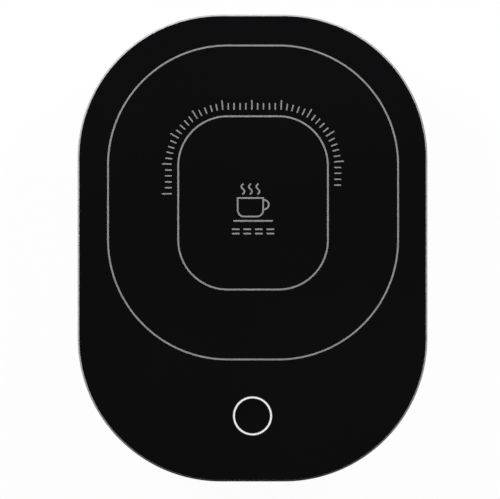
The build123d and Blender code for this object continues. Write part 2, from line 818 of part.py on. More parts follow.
# Thermal fuse, held against the film in the lead window
with BuildPart() as thermal_fuse:
    with BuildSketch(Plane.XY.offset(film_bottom)):
        with Locations((heater_plug_x + lead_pitch / 2 + fuse_shift, window_y)):
            RectangleRounded(fuse_width, fuse_length, sensor_edge)
    extrude(amount=-fuse_height)
thermal_fuse.part.label = "thermal_fuse"
export_step(thermal_fuse.part, "parts/thermal_fuse.step")

# Temperature sensor beside the fuse
with BuildPart() as heat_sensor:
    with BuildSketch(Plane.XY.offset(film_bottom)):
        with Locations((sensor_plug_x, window_y)):
            RectangleRounded(sensor_width, sensor_length, sensor_edge)
    extrude(amount=-fuse_height)
heat_sensor.part.label = "heat_sensor"
export_step(heat_sensor.part, "parts/heat_sensor.step")

# Spring strap across the window, which presses the fuse and the sensor against the film
with BuildPart() as sensor_strap:
    with BuildSketch(strap_plane):
        with BuildLine():
            Polyline(
                (-strap_half, clamp_bottom),
                (-strap_bend, clamp_bottom),
                (strap_ramp - strap_bend, strap_top),
                (strap_bend - strap_ramp, strap_top),
                (strap_bend, clamp_bottom),
                (strap_half, clamp_bottom),
            )
            offset(amount=strap_thickness, side=Side.RIGHT)
        make_face()
    extrude(amount=strap_width / 2, both=True)
    with BuildSketch(Plane.XY.offset(clamp_bottom)):
        with Locations(*rivet_places):
            Circle(rivet_shank / 2 + thread_gap)
    extrude(amount=-strap_thickness, mode=Mode.SUBTRACT)
sensor_strap.part.label = "sensor_strap"
export_step(sensor_strap.part, "parts/sensor_strap.step")

# Rivets that hold the strap under the clamp plate
with BuildPart() as strap_rivets:
    with BuildSketch(Plane.XY.offset(clamp_bottom - strap_thickness)) as rivet_heads:
        with Locations(*rivet_places):
            Circle(rivet_head / 2)
    extrude(rivet_heads.sketch, amount=-rivet_head_height)
    fillet(strap_rivets.edges().group_by(Axis.Z)[0], rivet_rounding)
    with BuildSketch(Plane.XY.offset(clamp_bottom - strap_thickness)) as rivet_shanks:
        with Locations(*rivet_places):
            Circle(rivet_shank / 2)
    extrude(rivet_shanks.sketch, amount=strap_thickness + clamp_thickness)
strap_rivets.part.label = "strap_rivets"
export_step(strap_rivets.part, "parts/strap_rivets.step")

# Control board under the front of the deck, cut to the curve of the housing
with BuildPart() as control_board:
    with BuildSketch(Plane.XY.offset(board_bottom)):
        with Locations((0, key_y)):
            RectangleRounded(2 * board_half, board_depth, board_corner)
        panel_outline(frame_inset + board_edge, mode=Mode.INTERSECT)
        with Locations(*board_places):
            Circle(small_shank / 2 + hole_gap, mode=Mode.SUBTRACT)
    extrude(amount=board_thickness)
control_board.part.label = "control_board"
export_step(control_board.part, "parts/control_board.step")

# Screws of the control board
with BuildPart() as board_screws:
    pan_screws(
        board_places,
        board_bottom,
        1,
        small_head,
        small_head_height,
        small_shank,
        board_thickness + small_grip,
    )
board_screws.part.label = "board_screws"
export_step(board_screws.part, "parts/board_screws.step")

# Controller chip under the board, with a dimple at its first leg
with BuildPart() as controller_chip:
    with BuildSketch(Plane.XY.offset(board_bottom)):
        with Locations((chip_x, key_y)):
            Rectangle(chip_width, chip_length)
    extrude(amount=-chip_height)
    with BuildSketch(Plane.XY.offset(board_bottom - chip_height)):
        with Locations((chip_x - chip_width / 2, key_y - chip_length / 2)):
            with Locations((chip_mark_inset, chip_mark_inset)):
                Circle(chip_mark / 2)
    extrude(amount=chip_mark_depth, mode=Mode.SUBTRACT)
controller_chip.part.label = "controller_chip"
export_step(controller_chip.part, "parts/controller_chip.step")

# Two rows of legs of the chip
with BuildPart() as chip_legs:
    bent_legs(
        [(chip_x - chip_width / 2, -1), (chip_x + chip_width / 2, 1)],
        [key_y - chip_leg_span / 2 + number * chip_leg_pitch for number in range(chip_leg_count)],
        board_bottom,
        -1,
        chip_height / 2,
        chip_leg_width,
        chip_leg_sheet,
    )
chip_legs.part.label = "chip_legs"
export_step(chip_legs.part, "parts/chip_legs.step")

# Power transistor under the board
with BuildPart() as power_transistor:
    with BuildSketch(Plane.XY.offset(board_bottom)):
        with Locations((-chip_x, key_y)):
            Rectangle(transistor_width, transistor_length)
    extrude(amount=-transistor_height)
power_transistor.part.label = "power_transistor"
export_step(power_transistor.part, "parts/power_transistor.step")

# Legs and cooling tab of the transistor
with BuildPart() as transistor_legs:
    bent_legs(
        [(-chip_x - transistor_width / 2, -1)],
        [key_y + side * (transistor_length / 2 - transistor_leg_inset) for side in (-1, 1)],
        board_bottom,
        -1,
        transistor_height / 2,
        transistor_leg_width,
        transistor_sheet,
    )
    with BuildSketch(Plane.XY.offset(board_bottom)) as tab:
        with Locations((transistor_width / 2 - chip_x, key_y)):
            Rectangle(
                transistor_tab_reach,
                transistor_length - 2 * transistor_tab_inset,
                align=(Align.MIN, Align.CENTER),
            )
    extrude(tab.sketch, amount=-transistor_sheet)
transistor_legs.part.label = "transistor_legs"
export_step(transistor_legs.part, "parts/transistor_legs.step")

# Buzzer on the board, with its sound hole
with BuildPart() as buzzer:
    with BuildSketch(Plane.XY.offset(board_top)):
        with Locations((buzzer_x, key_y)):
            Circle(buzzer_diameter / 2)
    extrude(amount=buzzer_height)
    chamfer(buzzer.edges().group_by(Axis.Z)[-1], buzzer_edge)
    with BuildSketch(Plane.XY.offset(board_top + buzzer_height)):
        with Locations((buzzer_x, key_y)):
            Circle(buzzer_hole / 2)
    extrude(amount=-buzzer_hole, mode=Mode.SUBTRACT)
buzzer.part.label = "buzzer"
export_step(buzzer.part, "parts/buzzer.step")

# Square foot of the filter capacitor, with two cut corners
with BuildPart() as capacitor_base:
    with BuildSketch(Plane.XY.offset(board_top)) as square:
        with Locations((capacitor_x, key_y)):
            Rectangle(capacitor_base_size, capacitor_base_size)
        chamfer(square.vertices().group_by(Axis.X)[-1], capacitor_base_corner)
    extrude(amount=capacitor_base_height)
capacitor_base.part.label = "capacitor_base"
export_step(capacitor_base.part, "parts/capacitor_base.step")

# Can of the filter capacitor
with BuildPart() as filter_capacitor:
    with BuildSketch(Plane.XY.offset(can_bottom)):
        with Locations((capacitor_x, key_y)):
            Circle(capacitor_diameter / 2)
    extrude(amount=capacitor_height)
    chamfer(filter_capacitor.edges().group_by(Axis.Z)[-1], capacitor_edge)
filter_capacitor.part.label = "filter_capacitor"
export_step(filter_capacitor.part, "parts/filter_capacitor.step")

# Headers under the back edge of the control board, open to the back, and their plugs
with BuildPart() as heater_header:
    header_shell(heater_plug_x, board_back, 1, board_bottom - header_height)
heater_header.part.label = "heater_header"
export_step(heater_header.part, "parts/heater_header.step")

with BuildPart() as heater_plug:
    lead_plug(heater_plug_x, board_back, 1, plug_z)
heater_plug.part.label = "heater_plug"
export_step(heater_plug.part, "parts/heater_plug.step")

with BuildPart() as sensor_header:
    header_shell(sensor_plug_x, board_back, 1, board_bottom - header_height)
sensor_header.part.label = "sensor_header"
export_step(sensor_header.part, "parts/sensor_header.step")

with BuildPart() as sensor_plug:
    lead_plug(sensor_plug_x, board_back, 1, plug_z)
sensor_plug.part.label = "sensor_plug"
export_step(sensor_plug.part, "parts/sensor_plug.step")

with BuildPart() as power_header:
    header_shell(power_plug_x, board_back, 1, board_bottom - header_height)
power_header.part.label = "power_header"
export_step(power_header.part, "parts/power_header.step")

with BuildPart() as power_plug:
    lead_plug(power_plug_x, board_back, 1, plug_z)
power_plug.part.label = "power_plug"
export_step(power_plug.part, "parts/power_plug.step")

# Inlet board on two posts of the tray, with slots for the tabs of the socket
with BuildPart() as inlet_board:
    with BuildSketch(Plane.XY.offset(inlet_bottom)):
        with Locations((0, inlet_back)):
            Rectangle(inlet_board_width, inlet_board_depth, align=(Align.CENTER, Align.MAX))
        panel_outline(frame_inset + loose_gap, mode=Mode.INTERSECT)
        with Locations(*inlet_places):
            Circle(inlet_shank / 2 + hole_gap, mode=Mode.SUBTRACT)
        with Locations(*tab_places):
            Rectangle(port_skin + 2 * hole_gap, tab_width + 2 * hole_gap, mode=Mode.SUBTRACT)
    extrude(amount=inlet_board_thickness)
inlet_board.part.label = "inlet_board"
export_step(inlet_board.part, "parts/inlet_board.step")

# Screws of the inlet board
with BuildPart() as inlet_screws:
    pan_screws(
        inlet_places,
        inlet_top,
        -1,
        inlet_head,
        inlet_head_height,
        inlet_shank,
        inlet_board_thickness + inlet_grip,
    )
inlet_screws.part.label = "inlet_screws"
export_step(inlet_screws.part, "parts/inlet_screws.step")

# Oval metal shell of the power socket, with four tabs down through its board
with BuildPart() as inlet_shell:
    with BuildSketch(port_plane):
        SlotOverall(port_width, port_tall)
        SlotOverall(port_width - 2 * port_skin, port_tall - 2 * port_skin, mode=Mode.SUBTRACT)
    extrude(amount=-port_length)
    with BuildSketch(Plane.XY.offset(port_z + tab_rise)) as tabs:
        with Locations(*tab_places):
            Rectangle(port_skin, tab_width)
    extrude(tabs.sketch, amount=inlet_bottom - tab_proud - port_z - tab_rise)
inlet_shell.part.label = "inlet_shell"
export_step(inlet_shell.part, "parts/inlet_shell.step")

# Contact tongue of the power socket and the block that carries it
with BuildPart() as inlet_tongue:
    with BuildSketch(port_plane.offset(port_back - port_length)):
        SlotOverall(port_width - 2 * port_skin - 2 * thread_gap, port_tall - 2 * port_skin - 2 * thread_gap)
    extrude(amount=-port_back)
    with BuildSketch(port_plane.offset(-tongue_short)):
        RectangleRounded(tongue_width, tongue_thickness, tongue_edge)
    extrude(amount=tongue_short + port_back - port_length)
inlet_tongue.part.label = "inlet_tongue"
export_step(inlet_tongue.part, "parts/inlet_tongue.step")

# Header on the inlet board, open to the front, and its plug
with BuildPart() as inlet_header:
    header_shell(inlet_plug_x, inlet_front, -1, inlet_top)
inlet_header.part.label = "inlet_header"
export_step(inlet_header.part, "parts/inlet_header.step")

with BuildPart() as inlet_plug:
    lead_plug(inlet_plug_x, inlet_front, -1, inlet_plug_z)
inlet_plug.part.label = "inlet_plug"
export_step(inlet_plug.part, "parts/inlet_plug.step")

# Leads from the control board up through the window to the film and the fuse
with BuildPart() as heater_leads:
    lead_pair(
        [
            [(x, board_back + plug_proud, plug_z), (x, window_y, plug_z), (x, window_y, top)]
            for x, top in (
                (heater_plug_x - lead_pitch / 2, film_bottom),
                (heater_plug_x + lead_pitch / 2, strap_top),
            )
        ]
    )
heater_leads.part.label = "heater_leads"
export_step(heater_leads.part, "parts/heater_leads.step")

# Leads from the control board up to the temperature sensor
with BuildPart() as sensor_leads:
    lead_pair(
        [
            [(x, board_back + plug_proud, plug_z), (x, window_y, plug_z), (x, window_y, strap_top)]
            for x in (sensor_plug_x - lead_pitch / 2, sensor_plug_x + lead_pitch / 2)
        ]
    )
sensor_leads.part.label = "sensor_leads"
export_step(sensor_leads.part, "parts/sensor_leads.step")

# Leads along the floor of the tray from the inlet to the control board
with BuildPart() as power_leads:
    lead_pair(
        [
            [
                (inlet_plug_x + side, inlet_front - plug_proud, inlet_plug_z),
                (inlet_plug_x + side, inlet_front - lead_straight, inlet_plug_z),
                (lead_run_x + side, lead_run_back, lead_z),
                (lead_run_x + side, lead_run_front, lead_z),
                (power_plug_x + side, board_back + lead_straight, plug_z),
                (power_plug_x + side, board_back + plug_proud, plug_z),
            ]
            for side in (-lead_pitch / 2, lead_pitch / 2)
        ]
    )
power_leads.part.label = "power_leads"
export_step(power_leads.part, "parts/power_leads.step")
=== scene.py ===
"""Warming pad for a mug: finishes, prints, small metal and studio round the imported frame.

Everything is in metres, in the frame's own axes: +Z up from the table, +Y to the back.
"""

import math

import bmesh
import bpy
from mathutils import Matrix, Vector


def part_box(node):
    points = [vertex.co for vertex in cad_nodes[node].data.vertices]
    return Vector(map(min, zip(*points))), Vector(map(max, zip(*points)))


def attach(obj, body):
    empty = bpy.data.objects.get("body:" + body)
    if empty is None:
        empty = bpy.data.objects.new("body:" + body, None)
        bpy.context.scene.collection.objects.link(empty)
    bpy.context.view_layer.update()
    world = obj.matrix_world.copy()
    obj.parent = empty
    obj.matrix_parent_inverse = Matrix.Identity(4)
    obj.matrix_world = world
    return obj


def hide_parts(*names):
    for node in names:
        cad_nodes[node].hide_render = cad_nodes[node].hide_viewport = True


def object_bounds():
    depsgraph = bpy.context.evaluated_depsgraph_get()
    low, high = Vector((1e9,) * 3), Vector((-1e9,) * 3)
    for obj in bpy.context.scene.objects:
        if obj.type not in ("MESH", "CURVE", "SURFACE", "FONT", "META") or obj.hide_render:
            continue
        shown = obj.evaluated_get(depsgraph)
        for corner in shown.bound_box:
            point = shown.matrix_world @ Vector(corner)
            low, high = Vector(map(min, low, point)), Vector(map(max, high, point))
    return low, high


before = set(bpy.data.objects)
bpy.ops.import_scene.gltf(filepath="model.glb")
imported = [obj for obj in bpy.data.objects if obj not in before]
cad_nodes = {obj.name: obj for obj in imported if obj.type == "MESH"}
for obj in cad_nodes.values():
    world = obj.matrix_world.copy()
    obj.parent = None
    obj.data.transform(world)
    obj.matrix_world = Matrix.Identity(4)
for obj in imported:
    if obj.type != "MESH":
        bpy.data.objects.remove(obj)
cad_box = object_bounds()

# Base tray: the lower half of the housing, injection moulded in black ABS. Its mould was spark
# eroded, so the skin has a fine even grain that takes the shine off.
mm = 0.001
grain_detail = 3.0
cloud_spread = (0.35, 0.65)  # most of a cloudy grain lies between these
cloud_specks = 14  # specks across one cloud of colour
unstretched = (1.0, 1.0, 1.0)


def new_finish(name):
    """A finish to fill in: the material, its node tree and the shader that it ends in."""
    finish = bpy.data.materials.new(name)
    finish.use_nodes = True
    return finish, finish.node_tree, finish.node_tree.nodes["Principled BSDF"]


def grain(tree, size, stretch=unstretched):
    """Cloudy grain about size across, drawn out along each axis whose stretch is under one."""
    place = tree.nodes.new("ShaderNodeTexCoord")
    pull = tree.nodes.new("ShaderNodeMapping")
    cloud = tree.nodes.new("ShaderNodeTexNoise")
    pull.inputs["Scale"].default_value = stretch
    cloud.inputs["Scale"].default_value = 1.0 / size
    cloud.inputs["Detail"].default_value = grain_detail
    tree.links.new(place.outputs["Object"], pull.inputs["Vector"])
    tree.links.new(pull.outputs["Vector"], cloud.inputs["Vector"])
    return cloud.outputs["Fac"]


def tone(tree, shader, pattern, dark, light, spread=cloud_spread):
    """Colour of the finish, from dark to light as the pattern rises through spread."""
    ramp = tree.nodes.new("ShaderNodeValToRGB")
    for stop, colour, place in zip(ramp.color_ramp.elements, (dark, light), spread):
        stop.color = (*colour, 1.0)
        stop.position = place
    tree.links.new(pattern, ramp.inputs["Fac"])
    tree.links.new(ramp.outputs["Color"], shader.inputs["Base Color"])


def polish(tree, shader, pattern, rough):
    """Roughness of the finish, from the first to the second of rough as the pattern rises."""
    rub = tree.nodes.new("ShaderNodeMapRange")
    rub.inputs["From Min"].default_value, rub.inputs["From Max"].default_value = cloud_spread
    rub.inputs["To Min"].default_value, rub.inputs["To Max"].default_value = rough
    tree.links.new(pattern, rub.inputs["Value"])
    tree.links.new(rub.outputs["Result"], shader.inputs["Roughness"])


def relief(tree, shader, pattern, depth):
    """Fine relief of the finish, depth high."""
    bump = tree.nodes.new("ShaderNodeBump")
    bump.inputs["Distance"].default_value = depth
    tree.links.new(pattern, bump.inputs["Height"])
    tree.links.new(bump.outputs["Normal"], shader.inputs["Normal"])


def grained_finish(name, dark, light, rough, speck, depth, metal=0.0, gloss=0.5, stretch=unstretched):
    """Finish with cloudy colour, and specks of one size that carry its roughness and relief."""
    finish, tree, shader = new_finish(name)
    specks = grain(tree, speck, stretch)
    tone(tree, shader, grain(tree, cloud_specks * speck, stretch), dark, light)
    polish(tree, shader, specks, rough)
    relief(tree, shader, specks, depth)
    shader.inputs["Metallic"].default_value = metal
    shader.inputs["Specular IOR Level"].default_value = gloss
    return finish


def dress(node, finish):
    """Gives a CAD node its finish."""
    cad_nodes[node].material_slots[0].material = finish


moulded_black = grained_finish(
    "moulded_black",
    dark=(0.0112, 0.0112, 0.0122),
    light=(0.0136, 0.0136, 0.0146),
    rough=(0.42, 0.62),
    speck=0.36 * mm,
    depth=0.035 * mm,
)
dress("base_tray", moulded_black)

# Rubber feet: four round pads of black rubber, moulded with a groove in the sole for grip and
# pressed into seats under the tray.
foot_rubber = grained_finish(
    "foot_rubber",
    dark=(0.016, 0.016, 0.017),
    light=(0.030, 0.030, 0.031),
    rough=(0.72, 0.92),
    speck=0.20 * mm,
    depth=0.020 * mm,
)
dress("rubber_feet", foot_rubber)

# Power inlet: an oval socket behind the back wall. Its drawn steel shell is nickel plated, its
# black tongue carries gold plated contacts on both faces, and a small board holds them.
tongue_low, tongue_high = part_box("inlet_tongue")
tongue_middle = (tongue_low.z + tongue_high.z) / 2
tongue_half = 0.35 * mm
contact_count = 8
contact_pitch = 0.70 * mm
contact_width = 0.34 * mm
contact_proud = 0.03 * mm  # and as deep in the tongue
contact_front = tongue_high.y - 4.3 * mm
contact_back = tongue_high.y - 0.4 * mm
end_turns = (0.35, 0.70, 1.05, 1.35)  # radians round the end of a line, where its ribs stand
mitre_least = 0.5  # keeps the corner of a sharp bend short
crease = math.radians(30)  # faces that meet at a larger angle show an edge

nickel = grained_finish(
    "nickel",
    dark=(0.50, 0.49, 0.47),
    light=(0.62, 0.61, 0.59),
    rough=(0.20, 0.34),
    speck=0.10 * mm,
    depth=0.002 * mm,
    metal=1.0,
    stretch=(1.0, 0.15, 1.0),
)
dress("inlet_shell", nickel)
tongue_black = grained_finish(
    "tongue_black",
    dark=(0.010, 0.010, 0.011),
    light=(0.017, 0.017, 0.018),
    rough=(0.38, 0.52),
    speck=0.12 * mm,
    depth=0.004 * mm,
)
dress("inlet_tongue", tongue_black)


def skin(shape, rings, closed=False):
    """Quads from each ring of points to the next, as lists of faces, one list for each step."""
    loops = [[shape.verts.new(point) for point in ring] for ring in rings]
    following = loops[1:] + loops[:1] if closed else loops[1:]
    bands = []
    for low, high in zip(loops, following):
        count = len(low)
        corners = [(low[i], low[(i + 1) % count], high[(i + 1) % count], high[i]) for i in range(count)]
        bands.append([shape.faces.new(four) for four in corners])
    return loops, bands


def round_end(rib, way):
    """Ribs that narrow in a half circle beyond the first (way -1) or the last (way 1) rib of a line."""
    end, side = rib
    ahead = Vector((side.y, -side.x)) * way
    return [(end + ahead * math.sin(turn), side * math.cos(turn)) for turn in end_turns]


def lay_stroke(shape, points, width, low, high, closed=False):
    """Flat raised line of even width along points, with its open ends rounded."""
    run = [Vector(point) for point in points]
    last = len(run) - 1
    ribs = []
    for i, here in enumerate(run):
        steps = []
        if closed or i > 0:
            steps.append(here - run[i - 1])
        if closed or i < last:
            steps.append(run[(i + 1) % len(run)] - here)
        sides = [Vector((-step.y, step.x)).normalized() for step in steps]
        side = sum(sides, Vector((0.0, 0.0))).normalized()
        ribs.append((here, side * width / 2 / max(mitre_least, side.dot(sides[0]))))
    if not closed:
        ribs = round_end(ribs[0], -1)[::-1] + ribs + round_end(ribs[-1], 1)
    rings = []
    for middle, side in ribs:
        left, right = middle + side, middle - side
        rings.append([(*left, low), (*left, high), (*right, high), (*right, low)])
    loops, _ = skin(shape, rings, closed)
    if not closed:
        shape.faces.new(loops[0])
        shape.faces.new(loops[-1])


def add_piece(name, shape, *finishes):
    """A piece of the object from a finished shape, its edges sharp where faces meet at an angle."""
    bmesh.ops.recalc_face_normals(shape, faces=shape.faces)
    for face in shape.faces:
        face.smooth = True
    for edge in shape.edges:
        edge.smooth = edge.calc_face_angle(0.0) < crease
    mesh = bpy.data.meshes.new(name)
    shape.to_mesh(mesh)
    shape.free()
    for finish in finishes:
        mesh.materials.append(finish)
    piece = bpy.data.objects.new(name, mesh)
    bpy.context.scene.collection.objects.link(piece)
    return piece


contact_shape = bmesh.new()
for number in range(contact_count):
    across = (number - (contact_count - 1) / 2) * contact_pitch
    lane = [(across, contact_front), (across, contact_back)]
    for side in (-1, 1):
        face = tongue_middle + side * tongue_half
        lay_stroke(contact_shape, lane, contact_width, face - contact_proud, face + contact_proud)
gold_plate = grained_finish(
    "gold_plate",
    dark=(0.58, 0.38, 0.12),
    light=(0.72, 0.50, 0.19),
    rough=(0.18, 0.30),
    speck=0.08 * mm,
    depth=0.001 * mm,
    metal=1.0,
)
inlet_contacts = add_piece("inlet_contacts", contact_shape, gold_plate)
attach(inlet_contacts, "housing")

track_cell = 2.4 * mm  # holds four tracks one way and two the other
track_width = 0.05  # share of the cell
track_blur = 0.4
track_stagger = 0.35  # share of a track's length
track_squash = 0.6
track_height = 0.03 * mm
mask_speck = 0.8 * mm
board_green, board_tree, board_shader = new_finish("board_green")
board_place = board_tree.nodes.new("ShaderNodeTexCoord")
board_tracks = board_tree.nodes.new("ShaderNodeTexBrick")
board_tracks.inputs["Scale"].default_value = 1.0 / track_cell
board_tracks.inputs["Mortar Size"].default_value = track_width
board_tracks.inputs["Mortar Smooth"].default_value = track_blur
board_tracks.offset = track_stagger
board_tracks.squash = track_squash
board_tree.links.new(board_place.outputs["Object"], board_tracks.inputs["Vector"])
tone(
    board_tree,
    board_shader,
    board_tracks.outputs["Fac"],
    dark=(0.005, 0.050, 0.022),
    light=(0.012, 0.095, 0.042),
    spread=(0.2, 0.8),
)
polish(board_tree, board_shader, grain(board_tree, mask_speck), rough=(0.24, 0.36))
relief(board_tree, board_shader, board_tracks.outputs["Fac"], track_height)
dress("inlet_board", board_green)
screw_zinc = grained_finish(
    "screw_zinc",
    dark=(0.42, 0.43, 0.45),
    light=(0.56, 0.57, 0.59),
    rough=(0.26, 0.42),
    speck=0.15 * mm,
    depth=0.004 * mm,
    metal=1.0,
)
dress("inlet_screws", screw_zinc)
plug_white = grained_finish(
    "plug_white",
    dark=(0.62, 0.61, 0.57),
    light=(0.70, 0.69, 0.65),
    rough=(0.40, 0.55),
    speck=0.30 * mm,
    depth=0.006 * mm,
)
dress("inlet_plug", plug_white)
dress("inlet_header", plug_white)

# Control board: under the front of the deck on four bosses, with its chip, transistor, buzzer,
# capacitor, push switch, ring lamps and three headers. Legs and covers are tinned sheet.
dress("control_board", board_green)
dress("board_screws", screw_zinc)
for plug in ("heater", "sensor", "power"):
    dress(plug + "_header", plug_white)
    dress(plug + "_plug", plug_white)
case_black = grained_finish(
    "case_black",
    dark=(0.012, 0.012, 0.013),
    light=(0.020, 0.020, 0.021),
    rough=(0.48, 0.62),
    speck=0.10 * mm,
    depth=0.004 * mm,
)
for case in ("controller_chip", "power_transistor", "buzzer", "switch_body", "capacitor_base"):
    dress(case, case_black)
leg_tin = grained_finish(
    "leg_tin",
    dark=(0.50, 0.50, 0.49),
    light=(0.62, 0.62, 0.60),
    rough=(0.24, 0.38),
    speck=0.10 * mm,
    depth=0.002 * mm,
    metal=1.0,
)
for legs in ("switch_legs", "switch_cover", "chip_legs", "transistor_legs"):
    dress(legs, leg_tin)
can_silver = grained_finish(
    "can_silver",
    dark=(0.55, 0.55, 0.56),
    light=(0.66, 0.66, 0.67),
    rough=(0.22, 0.34),
    speck=0.12 * mm,
    depth=0.002 * mm,
    metal=1.0,
)
dress("filter_capacitor", can_silver)
lamp_amber = grained_finish(
    "lamp_amber",
    dark=(0.62, 0.50, 0.16),
    light=(0.72, 0.60, 0.24),
    rough=(0.20, 0.32),
    speck=0.10 * mm,
    depth=0.002 * mm,
)
dress("ring_leds", lamp_amber)

# Leads: stranded copper in silicone rubber, from the inlet along the floor to the control board,
# and from there up through the window to the film, the fuse and the sensor.
lead_rough = (0.42, 0.58)
lead_speck = 0.25 * mm
lead_relief = 0.006 * mm
for leads, dark, light in (
    ("heater_leads", (0.36, 0.016, 0.012), (0.46, 0.024, 0.018)),
    ("sensor_leads", (0.56, 0.55, 0.52), (0.66, 0.65, 0.62)),
    ("power_leads", (0.018, 0.018, 0.019), (0.030, 0.030, 0.031)),
):
    dress(leads, grained_finish(leads + "_rubber", dark, light, lead_rough, lead_speck, lead_relief))

# Top frame: the upper half of the housing, from the same black ABS and the same grained mould
# as the tray, which it meets at an open line all round.
dress("top_frame", moulded_black)

# Heater stack: soft pad, aluminium spreader, amber film with its etched track, felt, and the
# galvanised plate and screws that press them against the glass.
pad_grey = grained_finish(
    "pad_grey",
    dark=(0.18, 0.19, 0.20),
    light=(0.24, 0.25, 0.26),
    rough=(0.62, 0.80),
    speck=0.40 * mm,
    depth=0.020 * mm,
)
dress("thermal_pad", pad_grey)
spreader_metal = grained_finish(
    "spreader_metal",
    dark=(0.56, 0.57, 0.58),
    light=(0.68, 0.69, 0.70),
    rough=(0.28, 0.42),
    speck=0.12 * mm,
    depth=0.003 * mm,
    metal=1.0,
    stretch=(0.08, 1.0, 1.0),
)
dress("heat_spreader", spreader_metal)

film_wave = 12 * mm  # holds about three tracks
film_speck = 0.6 * mm
film_height = 0.02 * mm
film_amber, film_tree, film_shader = new_finish("film_amber")
film_place = film_tree.nodes.new("ShaderNodeTexCoord")
film_track = film_tree.nodes.new("ShaderNodeTexWave")
film_track.bands_direction = "Y"
film_track.inputs["Scale"].default_value = 1.0 / film_wave
film_tree.links.new(film_place.outputs["Object"], film_track.inputs["Vector"])
tone(
    film_tree,
    film_shader,
    film_track.outputs["Fac"],
    dark=(0.40, 0.14, 0.015),
    light=(0.20, 0.11, 0.050),
)
polish(film_tree, film_shader, grain(film_tree, film_speck), rough=(0.18, 0.30))
relief(film_tree, film_shader, film_track.outputs["Fac"], film_height)
dress("film_heater", film_amber)

felt_white = grained_finish(
    "felt_white",
    dark=(0.58, 0.57, 0.53),
    light=(0.76, 0.75, 0.72),
    rough=(0.88, 0.98),
    speck=0.22 * mm,
    depth=0.12 * mm,
    stretch=(0.35, 1.0, 1.0),
)
dress("insulation_pad", felt_white)

spangle_size = 3.5 * mm
zinc_speck = 0.3 * mm
zinc_height = 0.004 * mm
clamp_zinc, clamp_tree, clamp_shader = new_finish("clamp_zinc")
clamp_place = clamp_tree.nodes.new("ShaderNodeTexCoord")
spangle = clamp_tree.nodes.new("ShaderNodeTexVoronoi")
spangle.inputs["Scale"].default_value = 1.0 / spangle_size
clamp_tree.links.new(clamp_place.outputs["Object"], spangle.inputs["Vector"])
spangle_grey = clamp_tree.nodes.new("ShaderNodeRGBToBW")
clamp_tree.links.new(spangle.outputs["Color"], spangle_grey.inputs["Color"])
tone(
    clamp_tree,
    clamp_shader,
    spangle_grey.outputs["Val"],
    dark=(0.40, 0.41, 0.43),
    light=(0.58, 0.59, 0.61),
)
polish(clamp_tree, clamp_shader, spangle_grey.outputs["Val"], rough=(0.30, 0.48))
relief(clamp_tree, clamp_shader, grain(clamp_tree, zinc_speck), zinc_height)
clamp_shader.inputs["Metallic"].default_value = 1.0
dress("clamp_plate", clamp_zinc)
dress("clamp_screws", screw_zinc)
dress("sensor_strap", clamp_zinc)
dress("strap_rivets", screw_zinc)
fuse_white = grained_finish(
    "fuse_white",
    dark=(0.66, 0.65, 0.62),
    light=(0.76, 0.75, 0.72),
    rough=(0.50, 0.66),
    speck=0.20 * mm,
    depth=0.010 * mm,
)
dress("thermal_fuse", fuse_white)
sensor_epoxy = grained_finish(
    "sensor_epoxy",
    dark=(0.014, 0.010, 0.008),
    light=(0.030, 0.020, 0.014),
    rough=(0.22, 0.36),
    speck=0.50 * mm,
    depth=0.020 * mm,
)
dress("heat_sensor", sensor_epoxy)

# Key seat: the white light guide round the key, moulded in milky polycarbonate, the rubber seal
# under it, and the gloss black key, dished for a fingertip, that stands on the switch plunger.
key_low, key_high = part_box("power_key")
key_middle = ((key_low + key_high) / 2).xy
cap_radius = 5.98 * mm
cap_rim = 0.6 * mm
cap_dish = 0.3 * mm
cap_edge = 0.08 * mm
cap_edge_cut = 0.3  # share of the edge that is cut away half way round it
cap_wall = 1.4 * mm
collar_radius = (key_high.x - key_low.x) / 2
collar_levels = (16.1 * mm, 17.3 * mm)
stem_radius = 2.5 * mm
cap_segments = 160
dish_steps = 10
guide_cloud = 1.5 * mm
guide_speck = 0.3 * mm
guide_height = 0.003 * mm
guide_glow = 0.20
plain_white = (1.0, 1.0, 1.0, 1.0)

guide_white, guide_tree, guide_shader = new_finish("guide_white")
tone(
    guide_tree,
    guide_shader,
    grain(guide_tree, guide_cloud),
    dark=(0.84, 0.84, 0.85),
    light=(0.88, 0.88, 0.89),
)
polish(guide_tree, guide_shader, grain(guide_tree, guide_speck), rough=(0.30, 0.42))
relief(guide_tree, guide_shader, grain(guide_tree, guide_speck), guide_height)
guide_shader.inputs["Emission Color"].default_value = plain_white
guide_shader.inputs["Emission Strength"].default_value = guide_glow
dress("key_light_ring", guide_white)
seal_black = grained_finish(
    "seal_black",
    dark=(0.012, 0.012, 0.012),
    light=(0.020, 0.020, 0.020),
    rough=(0.60, 0.80),
    speck=0.25 * mm,
    depth=0.015 * mm,
)
dress("light_ring_gasket", seal_black)
dress("switch_plunger", case_black)
key_gloss = grained_finish(
    "key_gloss",
    dark=(0.0022, 0.0022, 0.0025),
    light=(0.0028, 0.0028, 0.0032),
    rough=(0.04, 0.08),
    speck=4.0 * mm,
    depth=0.0003 * mm,
)


def turned_ring(middle, radius, level, segments):
    """Circle of points round a middle, at a level."""
    turns = [2 * math.pi * i / segments for i in range(segments)]
    return [(middle.x + radius * math.cos(t), middle.y + radius * math.sin(t), level) for t in turns]


